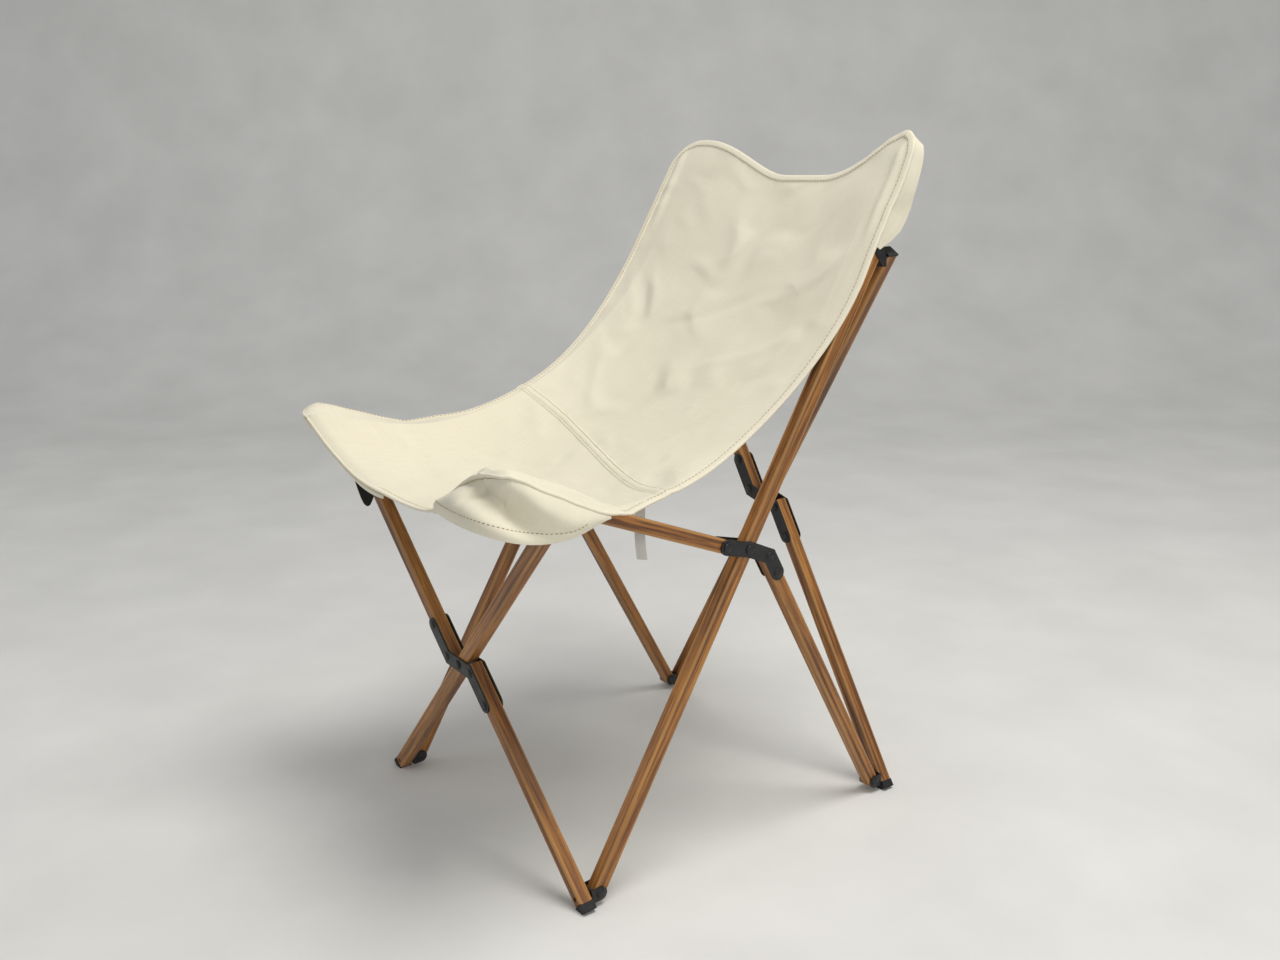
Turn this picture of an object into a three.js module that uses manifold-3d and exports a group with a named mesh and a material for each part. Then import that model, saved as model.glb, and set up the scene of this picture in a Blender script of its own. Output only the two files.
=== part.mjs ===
// Folding butterfly chair: four scissor frames of wooden bars in a ring, steel brackets at the
// corners, and a canvas sling whose corner pockets sit on the tips of the rails and long bars.
// Millimetres, +Z up, the sitter faces -Y, left is +X.

import * as THREE from 'three';
import { mergeVertices } from 'three/addons/utils/BufferGeometryUtils.js';
import Module from 'manifold-3d';

// Bars
const BAR_W = 18;              // width in the plane of the scissor
const BAR_T = 18;              // thickness across that plane
const BAR_EDGE = 2.5;          // eased edges
const FIT = 0.3;               // clearance between touching pieces

// Side frames, as [y, z] in the side plane
const SIDE_X = 236;            // middle of the chair to a side frame's plane
const FOOT_Z = 16;             // height of the foot pins
const FRONT_FOOT_Y = -237;
const BACK_FOOT_Y = 236;
const BACK_TOP = [212, 764];   // pin of the long bar at the back frame
const LONG_BEYOND = 112;       // long bar past that pin, into the sling
const PIVOT_ALONG = 455;       // front foot pin to the side pivot, along the long bar
const RAIL_RIVET = [-36, 9];   // from the side pivot to the seat rail's rivet
const LEG_RIVET = [34, -15];   // from the side pivot to the rear leg's first rivet
const LEG_RIVET_STEP = 28;     // first to second rivet along the rear leg
const RAIL_TIP = [-342, 534];
const RAIL_PIN_ALONG = 250;    // rail rivet to the front bracket's pin, along the rail

// Front and back scissors
const HUB_DEPTH = 22;          // side bar's axis to the scissor's plane
const HUB_DROP = 26;           // front top pin below the rail's pin
const BACK_DROP = 14;          // back top pin below the long bar's pin
const SPLIT = 20;              // each half of a split bar stands this far off the crossing
const SPLIT_GAP = 13;          // crossing to the end of each half
const CROSS_RIVETS = [22, 69]; // rivets of each half, from the crossing
const CAP_REACH = 20;          // foot cap past the foot pin
const END_REACH = 9;           // square end of a bar past its pin
const END_CAP = 3;

// Steel
const PLATE = 2;
const PLATE_W = 20;            // width of the crossing plates
const PLATE_OVER = 9;          // plate past its last rivet
const EAR_R = 8.8;             // bracket ear round its pin
const WEB_ABOVE = 4;           // web of a dropped bracket above its lower pin
const LOOSE = 1;               // extra room at a bracket whose lower pin is left out
const PIN_R = 3;
const HEAD_R = 6.5;
const HEAD_H = 2.5;
const PIN_SINK = 3;            // end of a scissor pin below the bar's face

// Sling. The photographed cloth hangs slacker on its left edge, so each edge has its own values.
const SHEET = 2.4;             // canvas with its hems
const FRONT_OUT = 21;          // front corners outside the side plane
const BACK_OUT = 16;           // back corners outside the side plane
const SLING_IN = 13;           // side edge inside that plane between its corners
const LIES_FLAT = 20;          // sheet lies flat over a bar from this far inside it
const FRONT_OVER = 46;         // sling past the tip of a rail
const BACK_OVER = 46;          // sling past the tip of a long bar
const CORNER = 45;             // radius of the corners
const BAR_HELD = 190;          // side edge lies on the long bar for this length
const EDGES = {                // held by the rail, leaves it along and above, meets the long bar
  left: { railHeld: 219, leave: [199, 88], meet: 86 },
  right: { railHeld: 20, leave: [340, 10], meet: 60 },
};
const FRONT_DIP = [40, 94];    // middle of the front edge, in and down from its corners
const TOP_DIP = [8, 52];       // middle of the top edge, in and down from its corners
const DIP_SKEW = [0.08, -0.18]; // lowest line, to the right of the middle in front, left at the top
const DIP_POWER = 2.5;         // how squarely the cloth hollows
const TOP_HOLLOW = [0.18, 0.95]; // start and end of the slope from the top edge's dip to its corners
const SEAT_PULL = [230, -50];
const BACK_LEAN = 420;
const SEAM_AT = 0.369;         // seam between seat and back, as a share of the length
const SEAM_SKEW = 0.087;       // further forward at the left edge, further back at the right
const SEAM_BEND = 0.045;       // turns back toward the crosswise line at both edges
const SEAM_GAP = 0.6;          // seat's rear edge to the back's lower edge
const POCKET_UNDER = 4;        // top of a front pocket under the sheet it is sewn to
const POCKETS = {              // depth of a front pocket, where it is deepest, how fast it tapers
  left: { depth: 68, deepest: 0.52, taper: 0.7 },
  right: { depth: 122, deepest: 0.8, taper: 4 },
};
const POCKET_HEM = 3;          // least depth of a pocket, at its ends
const POCKET_LEAN = 0.7;       // its front slopes back under the seat
const BACK_POCKET_UNDER = 2.7;
const BACK_POCKET = { depth: 22, deepest: 0.5, taper: 0.45 };
const TAG = [9, 0.8, 70];      // blank cloth tag: width, thickness, length
const TAG_AT = 0.292;          // its place along the left edge
const TAG_UNDER = 2.7;         // top of the tag under the middle of the sheet

const WOOD = { color: 0x7d4f2c, roughness: 0.5, metalness: 0 };
const STEEL = { color: 0x1b1c1e, roughness: 0.45, metalness: 0.5 };
const RUBBER = { color: 0x151515, roughness: 0.8, metalness: 0 };
const CANVAS = { color: 0xe9e1c9, roughness: 0.95, metalness: 0 };
const TAPE = { color: 0x9a9a96, roughness: 0.95, metalness: 0 };

const wasm = await Module();
wasm.setup();

const chair = new THREE.Group();
const X = new THREE.Vector3(1, 0, 0);
const SIDES = { left: 1, right: -1 };
const HALF_W = BAR_W / 2;
const HALF_T = BAR_T / 2;
const here = new THREE.Matrix4();

// Small helpers for points in the side plane and frames of pieces.
const side = (yz, x = 0) => new THREE.Vector3(x, yz[0], yz[1]);
const from = (point, direction, distance) => point.clone().addScaledVector(direction, distance);
const toward = (a, b) => b.clone().sub(a).normalize();
const mirrored = (point) => new THREE.Vector3(-point.x, point.y, point.z);

function frameAt(origin, along, normal) {
  const across = normal.clone().cross(along);
  return new THREE.Matrix4().makeBasis(along, across, normal).setPosition(origin);
}

function add(name, geometry, look, frame) {
  const mesh = new THREE.Mesh(geometry, new THREE.MeshStandardMaterial(look));
  mesh.name = name;
  mesh.applyMatrix4(frame);
  chair.add(mesh);
}

// Joins of solids.
function solid(geometry) {
  const bare = geometry.index ? geometry.toNonIndexed() : geometry.clone();
  bare.deleteAttribute('normal');
  bare.deleteAttribute('uv');
  const merged = mergeVertices(bare, 1e-4);
  return new wasm.Manifold(new wasm.Mesh({
    numProp: 3,
    vertProperties: new Float32Array(merged.attributes.position.array),
    triVerts: new Uint32Array(merged.index.array),
  }));
}

function geometryOf(manifold) {
  const mesh = manifold.getMesh();
  const geometry = new THREE.BufferGeometry();
  geometry.setAttribute('position', new THREE.BufferAttribute(mesh.vertProperties, 3));
  geometry.setIndex(new THREE.BufferAttribute(mesh.triVerts, 1));
  return geometry;
}

function joined(geometries) {
  return geometryOf(geometries.map(solid).reduce((sum, next) => sum.add(next)));
}

function circle(x, y, radius) {
  return new THREE.Path().absarc(x, y, radius, 0, Math.PI * 2, false);
}

// A wooden bar along local x, in its scissor's plane, with holes for its pins and rivets.
function barGeometry(start, end, holes, round = [true, true]) {
  const shape = new THREE.Shape();
  if (round[0]) {
    shape.absarc(start + HALF_W, 0, HALF_W, Math.PI / 2, Math.PI * 1.5, false);
  } else {
    shape.moveTo(start, HALF_W).lineTo(start, -HALF_W);
  }
  if (round[1]) {
    shape.absarc(end - HALF_W, 0, HALF_W, -Math.PI / 2, Math.PI / 2, false);
  } else {
    shape.lineTo(end, -HALF_W).lineTo(end, HALF_W);
  }
  const bar = new THREE.ExtrudeGeometry(shape, {
    depth: BAR_T - 2 * BAR_EDGE,
    bevelThickness: BAR_EDGE,
    bevelSize: BAR_EDGE,
    bevelOffset: -BAR_EDGE,
    bevelSegments: 2,
    curveSegments: 5,
  });
  const drill = (x) => new THREE.CylinderGeometry(PIN_R + FIT, PIN_R + FIT, 2 * BAR_T, 12)
    .rotateX(Math.PI / 2)
    .translate(x, 0, 0);
  const whole = solid(bar.translate(0, 0, BAR_EDGE - HALF_T));
  return geometryOf(holes.reduce((rest, x) => rest.subtract(solid(drill(x))), whole));
}

// A flat strip of steel that follows a bent line, with round ends.
function stripGeometry(line, width, holes, thickness = PLATE) {
  const half = width / 2;
  const points = line.map(([x, y]) => new THREE.Vector2(x, y));
  const last = points.length - 1;
  const steps = points.slice(1).map((p, i) => p.clone().sub(points[i]).normalize());
  const offset = (i, sign) => {
    const before = steps[Math.max(i - 1, 0)];
    const after = steps[Math.min(i, last - 1)];
    const middle = before.clone().add(after).normalize();
    const reach = sign * half / middle.dot(after);
    return points[i].clone().add(new THREE.Vector2(-middle.y, middle.x).multiplyScalar(reach));
  };
  const shape = new THREE.Shape();
  const inner = [...points.keys()].slice(1, -1);
  const turn = (step) => Math.atan2(step.y, step.x);
  const startTurn = turn(steps[0]);
  const endTurn = turn(steps[last - 1]);
  shape.absarc(points[0].x, points[0].y, half, startTurn + Math.PI / 2, startTurn + Math.PI * 1.5);
  inner.forEach((i) => shape.lineTo(offset(i, -1).x, offset(i, -1).y));
  shape.absarc(points[last].x, points[last].y, half, endTurn - Math.PI / 2, endTurn + Math.PI / 2);
  inner.reverse().forEach((i) => shape.lineTo(offset(i, 1).x, offset(i, 1).y));
  shape.holes = holes.map(([x, y]) => circle(x, y, PIN_R + FIT));
  return new THREE.ExtrudeGeometry(shape, { depth: thickness, bevelEnabled: false, curveSegments: 5 });
}

// A rivet along local z with a domed head outside each end of its grip.
function rivetGeometry(low, high) {
  const dome = [1, 0.8, 0.45].map((share, i) => [HEAD_R * share, HEAD_H * [0.25, 0.7, 0.95][i]]);
  const profile = [
    [0, low - HEAD_H],
    ...dome.slice().reverse().map(([r, h]) => [r, low - h]),
    [HEAD_R, low],
    [PIN_R, low],
    [PIN_R, high],
    [HEAD_R, high],
    ...dome.map(([r, h]) => [r, high + h]),
    [0, high + HEAD_H],
  ];
  const geometry = new THREE.LatheGeometry(profile.map(([r, z]) => new THREE.Vector2(r, z)), 12);
  return geometry.rotateX(Math.PI / 2);
}

// Side frames: long bar, rear leg and seat rail between a pair of bent plates.
const frontFoot = side([FRONT_FOOT_Y, FOOT_Z]);
const backFoot = side([BACK_FOOT_Y, FOOT_Z]);
const backTop = side(BACK_TOP);
const longDir = toward(frontFoot, backTop);
const longPins = [0, PIVOT_ALONG, frontFoot.distanceTo(backTop)];
const longTip = from(backTop, longDir, LONG_BEYOND);
const pivot = from(frontFoot, longDir, PIVOT_ALONG);
const railRivet = pivot.clone().add(side(RAIL_RIVET));
const legRivet = pivot.clone().add(side(LEG_RIVET));
const legDir = toward(legRivet, backFoot);
const legSecond = from(legRivet, legDir, LEG_RIVET_STEP);
const railTip = side(RAIL_TIP);
const railDir = toward(railRivet, railTip);
const railPin = from(railRivet, railDir, RAIL_PIN_ALONG);

function sideFrame(name, x) {
  const at = (point) => from(point, X, x);
  const gripped = HALF_T + FIT;
  const longLength = longPins[2] + LONG_BEYOND;
  add(`long_bar_${name}`, barGeometry(-HALF_W, longLength, longPins), WOOD,
    frameAt(at(frontFoot), longDir, X));
  const legLength = legRivet.distanceTo(backFoot);
  add(`rear_leg_${name}`, barGeometry(-HALF_W, legLength + HALF_W, [0, LEG_RIVET_STEP, legLength]),
    WOOD, frameAt(at(legRivet), legDir, X));
  const railLength = railRivet.distanceTo(railTip);
  add(`seat_rail_${name}`, barGeometry(-HALF_W, railLength, [0, RAIL_PIN_ALONG]), WOOD,
    frameAt(at(railRivet), railDir, X));

  // The plates' bent line, in the side plane about the pivot.
  const frame = frameAt(at(pivot), new THREE.Vector3(0, 1, 0), X);
  const flat = (point) => [point.y - pivot.y, point.z - pivot.z];
  const line = [railRivet, pivot, legRivet, legSecond].map(flat);
  const fixed = [legRivet, legSecond].map(flat);
  const rivets = fixed.map(([y, z]) => rivetGeometry(-gripped - PLATE - FIT, gripped + PLATE - FIT)
    .translate(y, z, 0));
  const plate = (holes) => stripGeometry(line, PLATE_W, holes);
  const loose = [railRivet, pivot].map(flat);
  add(`side_plate_outer_${name}`, joined([plate(loose).translate(0, 0, gripped), ...rivets]),
    STEEL, frame);
  add(`side_plate_inner_${name}`, plate([...loose, ...fixed]).translate(0, 0, -gripped - PLATE),
    STEEL, frame);
  const reach = gripped + PLATE + FIT;
  add(`side_pivot_${name}`, rivetGeometry(-reach, reach), STEEL, frame);
  add(`rail_rivet_${name}`, rivetGeometry(-reach, reach), STEEL, frameAt(at(railRivet), railDir, X));
  const plug = new THREE.CylinderGeometry(PIN_R, PIN_R, BAR_T, 12).rotateX(Math.PI / 2);
  add(`rail_pin_${name}`, plug, STEEL, frameAt(at(railPin), railDir, X));
}

// Corner brackets. Local x runs along the side bar's pin, y out to the scissor, z up its plane.
const EAR_OUT = HALF_T + FIT + PLATE;
const WEB_IN = HUB_DEPTH - HALF_T - FIT - PLATE;

function bracketGeometry({ drop = 0, crossed = true, pinned = true }) {
  const low = -drop - EAR_R;
  const high = drop ? -drop + WEB_ABOVE : EAR_R;
  const inside = pinned ? WEB_IN : WEB_IN - LOOSE;
  const outside = inside + PLATE;
  const shape = new THREE.Shape();
  const lean = drop ? Math.PI / 4 : 0;
  shape.moveTo(outside, low).lineTo(outside, high);
  shape.absarc(0, 0, EAR_R, Math.PI / 2 - lean, Math.PI * 1.5 - lean, false);
  if (drop) {
    shape.lineTo(inside - PLATE, low);
  }
  const ear = (x) => new THREE.ExtrudeGeometry(shape, { depth: PLATE, bevelEnabled: false, curveSegments: 5 })
    .applyMatrix4(new THREE.Matrix4().makeBasis(
      new THREE.Vector3(0, 1, 0), new THREE.Vector3(0, 0, 1), new THREE.Vector3(1, 0, 0)))
    .translate(x, 0, 0);
  const web = new THREE.BoxGeometry(2 * EAR_OUT, PLATE, high - low)
    .translate(0, inside + PLATE / 2, (high + low) / 2);
  const pieces = [ear(-EAR_OUT), ear(EAR_OUT - PLATE), web];
  const across = rivetGeometry(-EAR_OUT + FIT, EAR_OUT - FIT).rotateY(Math.PI / 2);
  if (crossed) {
    pieces.push(across);
  }
  if (pinned) {
    const end = HUB_DEPTH + HALF_T - PIN_SINK;
    pieces.push(new THREE.CylinderGeometry(PIN_R, PIN_R, end - inside, 12)
      .translate(0, (end + inside) / 2, -drop));
  }
  let body = pieces.map(solid).reduce((sum, next) => sum.add(next));
  if (!crossed) {
    const room = new THREE.BoxGeometry(2 * (EAR_OUT - PLATE), 2 * EAR_R, 2 * EAR_R);
    body = body.add(solid(across).subtract(solid(room)));
  }
  return geometryOf(body);
}

// Foot caps, cut level with the floor.
function footCap(name, frame) {
  const length = CAP_REACH - END_REACH - FIT;
  const block = new THREE.BoxGeometry(length, BAR_W, BAR_T).translate(length / 2 - CAP_REACH, 0, 0);
  const room = new THREE.BoxGeometry(4 * SIDE_X, 4 * SIDE_X, SIDE_X).translate(0, 0, SIDE_X / 2);
  add(name, geometryOf(solid(block.applyMatrix4(frame)).intersect(solid(room))), RUBBER, here);
}

// A scissor: one solid bar and one split bar, which lies either side of it when folded.
function scissor(name, foot, top, normal, capped) {
  const length = foot.distanceTo(top);
  const topEnd = capped ? END_REACH : HALF_W;
  const centre = foot.clone().lerp(top, 0.5);
  const run = toward(foot, top);
  const across = normal.clone().cross(run);
  const tilt = Math.asin(SPLIT / (length / 2)) * Math.sign(across.x);
  const halfDir = run.clone().applyAxisAngle(normal, tilt);
  const reach = (length / 2) * Math.cos(tilt);
  const halfEnd = reach - SPLIT_GAP;
  const marks = CROSS_RIVETS.map((mark) => reach - mark);

  const lower = frameAt(foot, halfDir, normal);
  add(`${name}_split_lower`, barGeometry(-END_REACH, halfEnd, [0, ...marks], [false, false]), WOOD, lower);
  footCap(`foot_cap_${name}_left`, lower);
  const upper = frameAt(top, halfDir.clone().negate(), normal);
  add(`${name}_split_upper`, barGeometry(-topEnd, halfEnd, [0, ...marks], [!capped, false]), WOOD, upper);
  const solidFrame = frameAt(mirrored(foot), toward(mirrored(foot), mirrored(top)), normal);
  add(`${name}_solid_bar`, barGeometry(-END_REACH, length + topEnd, [0, length / 2, length], [false, !capped]),
    WOOD, solidFrame);
  footCap(`foot_cap_${name}_right`, solidFrame);
  if (capped) {
    const cap = () => new THREE.BoxGeometry(END_CAP, BAR_W, BAR_T);
    const past = END_REACH + FIT + END_CAP / 2;
    add(`end_cap_${name}_right`, cap().translate(-past, 0, 0), RUBBER, upper);
    add(`end_cap_${name}_left`, cap().translate(length + past, 0, 0), RUBBER, solidFrame);
  }

  // Zig-zag plates that carry the two halves past the solid bar.
  const frame = frameAt(centre, halfDir, normal);
  const offset = SPLIT * Math.sign(across.x);
  const holes = CROSS_RIVETS.flatMap((mark) => [[-mark, offset], [mark, -offset]]);
  const end = CROSS_RIVETS[1] + PLATE_OVER - PLATE_W / 2;
  const line = [[-end, offset], [-SPLIT, offset], [SPLIT, -offset], [end, -offset]];
  const gripped = HALF_T + FIT;
  const rivets = holes.map(([a, b]) => rivetGeometry(-gripped - PLATE - FIT, gripped + PLATE - FIT)
    .translate(a, b, 0));
  add(`${name}_plate_outer`, joined([
    stripGeometry(line, PLATE_W, [[0, 0]]).translate(0, 0, gripped), ...rivets]), STEEL, frame);
  add(`${name}_plate_inner`, stripGeometry(line, PLATE_W, [[0, 0], ...holes])
    .translate(0, 0, -gripped - PLATE), STEEL, frame);
  const pinReach = gripped + PLATE + FIT;
  add(`${name}_pivot`, rivetGeometry(-pinReach, pinReach), STEEL, frame);
}

Object.entries(SIDES).forEach(([name, sign]) => sideFrame(name, sign * SIDE_X));

const frontUp = toward(frontFoot, railPin);
const frontOut = frontUp.clone().cross(X).negate();
const backUp = toward(backFoot, backTop);
const backOut = backUp.clone().cross(X);
const frontLow = from(from(frontFoot, frontOut, HUB_DEPTH), X, SIDE_X);
const frontHigh = from(from(from(railPin, frontOut, HUB_DEPTH), frontUp, -HUB_DROP), X, -SIDE_X);
scissor('front', frontLow, frontHigh, frontOut, false);
const backLow = from(from(backFoot, backOut, HUB_DEPTH), X, SIDE_X);
const backHigh = from(from(from(backTop, backOut, HUB_DEPTH), backUp, -BACK_DROP), X, -SIDE_X);
scissor('back', backLow, backHigh, backOut, true);

const bracketPlaces = {
  front_foot: [frontFoot, frontUp, frontOut, { left: {}, right: {} }],
  front_top: [railPin, frontUp, frontOut, {
    left: { drop: HUB_DROP, crossed: false }, right: { drop: HUB_DROP, crossed: false } }],
  back_foot: [backFoot, backUp, backOut, { left: {}, right: { pinned: false } }],
  back_top: [backTop, backUp, backOut, {
    left: { drop: BACK_DROP, pinned: false }, right: { drop: BACK_DROP, pinned: false } }],
};
Object.entries(bracketPlaces).forEach(([place, [point, up, out, kinds]]) => {
  Object.entries(SIDES).forEach(([name, sign]) => {
    const across = out.clone().cross(up);
    const frame = new THREE.Matrix4().makeBasis(across, out, up).setPosition(from(point, X, sign * SIDE_X));
    add(`bracket_${place}_${name}`, bracketGeometry(kinds[name]), STEEL, frame);
  });
});

// The sling: a sheet spanned between its two side edges and a sagging middle line.
const standOff = HALF_W + SHEET / 2 + FIT;
const railNormal = X.clone().cross(railDir).negate();
const longNormal = X.clone().cross(longDir);
const frontCorner = from(from(railTip, railDir, FRONT_OVER), railNormal, standOff);
const backCorner = from(from(longTip, longDir, BACK_OVER), longNormal, standOff);
const meetsBar = from(backCorner, longDir, -BAR_HELD);

function edgeLine({ railHeld, leave, meet }) {
  const leavesRail = from(frontCorner, railDir, -railHeld);
  const leaving = from(from(leavesRail, railDir, -leave[0]), railNormal, leave[1]);
  const line = new THREE.CurvePath();
  line.add(new THREE.LineCurve3(frontCorner, leavesRail));
  line.add(new THREE.CubicBezierCurve3(leavesRail, leaving, from(meetsBar, longDir, -meet), meetsBar));
  line.add(new THREE.LineCurve3(meetsBar, backCorner));
  return line;
}

const edgeLines = { left: edgeLine(EDGES.left), right: edgeLine(EDGES.right) };
const frontMiddle = frontCorner.clone().add(side([FRONT_DIP[0], -FRONT_DIP[1]]));
const topMiddle = backCorner.clone().add(side([-TOP_DIP[0], -TOP_DIP[1]]));
const middleLine = new THREE.CubicBezierCurve3(
  frontMiddle, frontMiddle.clone().add(side(SEAT_PULL)), from(topMiddle, longDir, -BACK_LEAN), topMiddle);
const { smoothstep, lerp, clamp } = THREE.MathUtils;

// Turns the sheet's square corners round: u and v are shares of its half width and its length.
function roundCorner(u, v) {
  const length = edgeLines.left.getLength();
  const inside = (1 - Math.abs(u)) * SIDE_X;
  const along = Math.min(v, 1 - v) * length;
  const a = Math.max(0, 1 - inside / CORNER);
  const b = Math.max(0, 1 - along / CORNER);
  const narrower = CORNER * a * (1 - Math.sqrt(1 - b * b / 2)) / SIDE_X;
  const shorter = CORNER * b * (1 - Math.sqrt(1 - a * a / 2)) / length;
  return [u - Math.sign(u) * narrower, v < 0.5 ? v + shorter : v - shorter];
}

function slingPoint(across, along) {
  const [u, v] = roundCorner(across, along);
  const edge = (u > 0 ? edgeLines.left : edgeLines.right).getPointAt(v);
  const middle = middleLine.getPointAt(v);
  const drawn = smoothstep(v, 0.18, 0.31) * (1 - smoothstep(v, 0.45, 0.78));
  const corner = SIDE_X + lerp(FRONT_OUT, BACK_OUT, v);
  const reach = lerp(corner, SIDE_X - SLING_IN, drawn);
  const sagging = Math.min(reach, SIDE_X - HALF_T - LIES_FLAT);
  const place = clamp(u * reach / sagging, -1, 1);
  const skewed = Math.abs(place + lerp(...DIP_SKEW, v) * (1 - place * place));
  const hollow = lerp(skewed ** DIP_POWER, smoothstep(skewed, ...TOP_HOLLOW), smoothstep(v, 0.75, 1));
  const point = middle.lerp(edge, hollow);
  point.x = u * reach;
  return point;
}

// A sheet of even thickness over a grid of points, closed round its rim.
function sheetGeometry(surface, columns, rows, thickness = SHEET) {
  const grid = (i, j) => surface(i / columns, j / rows);
  const faces = [];
  const normalAt = (i, j) => {
    const du = grid(Math.min(i + 1, columns), j).sub(grid(Math.max(i - 1, 0), j));
    const dv = grid(i, Math.min(j + 1, rows)).sub(grid(i, Math.max(j - 1, 0)));
    return du.cross(dv).normalize();
  };
  const skin = (lift) => (i, j) => from(grid(i, j), normalAt(i, j), lift);
  const [top, bottom] = [skin(thickness / 2), skin(-thickness / 2)];
  const quad = (a, b, c, d) => faces.push(a, b, c, a, c, d);
  for (let i = 0; i < columns; i += 1) {
    for (let j = 0; j < rows; j += 1) {
      quad(top(i, j), top(i + 1, j), top(i + 1, j + 1), top(i, j + 1));
      quad(bottom(i, j), bottom(i, j + 1), bottom(i + 1, j + 1), bottom(i + 1, j));
    }
    quad(top(i, 0), bottom(i, 0), bottom(i + 1, 0), top(i + 1, 0));
    quad(top(i + 1, rows), bottom(i + 1, rows), bottom(i, rows), top(i, rows));
  }
  for (let j = 0; j < rows; j += 1) {
    quad(top(0, j + 1), bottom(0, j + 1), bottom(0, j), top(0, j));
    quad(top(columns, j), bottom(columns, j), bottom(columns, j + 1), top(columns, j + 1));
  }
  return new THREE.BufferGeometry().setFromPoints(faces);
}

const seam = (u) => SEAM_AT - SEAM_SKEW * u + SEAM_BEND * u ** 3;
const gap = SEAM_GAP / edgeLines.left.getLength();
const seatPanel = (s, t) => slingPoint(2 * s - 1, lerp(0, seam(2 * s - 1) - gap, t));
const backPanel = (s, t) => slingPoint(2 * s - 1, lerp(seam(2 * s - 1), 1, t));
add('sling_seat', sheetGeometry(seatPanel, 20, 12), CANVAS, here);
add('sling_back', sheetGeometry(backPanel, 20, 14), CANVAS, here);

// Corner pockets: a patch that hangs from the sling's rim around each corner, deepest at the corner.
function pocketGeometry(sign, rim, down, under, { depth, deepest, taper }, lean) {
  const skew = Math.log(0.5) / Math.log(deepest);
  return sheetGeometry((s, t) => {
    const place = sign > 0 ? s : 1 - s;
    const reach = t * (POCKET_HEM + depth * Math.sin(Math.PI * place ** skew) ** taper);
    const slope = place < 0.5 ? Math.sin(2 * Math.PI * place) : 0;
    const point = from(rim(place, sign), down, under + reach);
    return point.addScaledVector(lean, slope * reach);
  }, 16, 3);
}

const rimOf = (end, u0, v1) => (s, sign) => (s < 0.5
  ? slingPoint(sign * lerp(u0, 1, s * 2), end)
  : slingPoint(sign, lerp(end, v1, s * 2 - 1)));
Object.entries(SIDES).forEach(([name, sign]) => {
  add(`pocket_front_${name}`, pocketGeometry(sign, rimOf(0, 0.28, 0.19), new THREE.Vector3(0, 0, -1),
    POCKET_UNDER, POCKETS[name], new THREE.Vector3(0, POCKET_LEAN, 0)), CANVAS, here);
  add(`pocket_back_${name}`, pocketGeometry(sign, rimOf(1, 0.5, 0.838), longNormal.clone().negate(),
    BACK_POCKET_UNDER, BACK_POCKET, longDir.clone().multiplyScalar(-POCKET_LEAN)), CANVAS, here);
});

const tagTop = slingPoint(0.9, TAG_AT);
add('blank_tag', new THREE.BoxGeometry(...TAG), TAPE, new THREE.Matrix4().setPosition(
  tagTop.x, tagTop.y, tagTop.z - TAG_UNDER - TAG[2] / 2));

// Stand the chair on the floor with the middle of its depth at the origin.
const box = new THREE.Box3().setFromObject(chair, true);
chair.position.y = -(box.min.y + box.max.y) / 2;
chair.updateMatrixWorld(true);

export default chair;
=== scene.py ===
"""Folding butterfly chair: canvas sling, walnut bars and coated steel over the shared frame."""

import math

import bpy
import numpy as np
from mathutils import Matrix, Vector


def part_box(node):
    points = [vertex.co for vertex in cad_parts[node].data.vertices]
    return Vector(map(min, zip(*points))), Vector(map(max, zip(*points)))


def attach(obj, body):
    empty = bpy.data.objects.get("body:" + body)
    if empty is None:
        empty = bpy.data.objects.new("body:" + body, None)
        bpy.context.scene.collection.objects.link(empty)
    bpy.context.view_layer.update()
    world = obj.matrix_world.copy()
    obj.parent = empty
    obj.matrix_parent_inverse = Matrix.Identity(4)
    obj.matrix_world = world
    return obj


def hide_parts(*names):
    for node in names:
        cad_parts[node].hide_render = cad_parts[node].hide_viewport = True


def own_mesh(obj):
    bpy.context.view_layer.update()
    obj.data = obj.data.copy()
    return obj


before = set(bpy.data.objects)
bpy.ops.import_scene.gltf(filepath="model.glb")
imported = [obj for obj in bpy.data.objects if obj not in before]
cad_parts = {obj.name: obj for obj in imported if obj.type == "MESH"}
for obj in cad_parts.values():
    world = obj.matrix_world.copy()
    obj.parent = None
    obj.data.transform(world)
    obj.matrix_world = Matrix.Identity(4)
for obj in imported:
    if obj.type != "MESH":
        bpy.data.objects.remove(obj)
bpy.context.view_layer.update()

MM = 0.001

# Side frame of the chair, millimetres as (y, z): the sling hangs from these lines.
FRONT_FOOT = np.array([-237.0, 16.0])  # pin of the front foot
BACK_TOP = np.array([212.0, 764.0])    # pin of the long bar at the back frame
LONG_BEYOND = 112.0                    # long bar past that pin, into the sling
PIVOT_ALONG = 455.0                    # front foot pin to the side pivot, along the long bar
RAIL_RIVET = np.array([-36.0, 9.0])    # from the side pivot to the seat rail's rivet
RAIL_TIP = np.array([-342.0, 534.0])   # front end of the seat rail
SIDE_X = 236.0                         # middle of the chair to a side frame's plane
HALF_BAR = 9.0

# Sling, millimetres. The cloth hangs slacker on its left edge, so each edge has its own values.
STAND_OFF = 10.5                       # sling above the middle line of a bar
FRONT_OUT = 21.0                       # front corners outside the side plane
BACK_OUT = 16.0                        # back corners outside the side plane
SLING_IN = 13.0                        # side edge inside that plane between its corners
TURNS_IN = (0.18, 0.31)                # shares of the length over which the edge comes inside
TURNS_OUT = (0.45, 0.78)               # and over which it goes out again
LIES_FLAT = 20.0                       # cloth lies flat over a bar from this far inside it
FRONT_OVER = 46.0                      # sling past the tip of a rail
BACK_OVER = 46.0                       # sling past the tip of a long bar
CORNERS = {"front_left": 84.0, "front_right": 45.0, "back_left": 32.0, "back_right": 50.0}
BAR_HELD = 190.0                       # side edge lies on the long bar for this length
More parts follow.
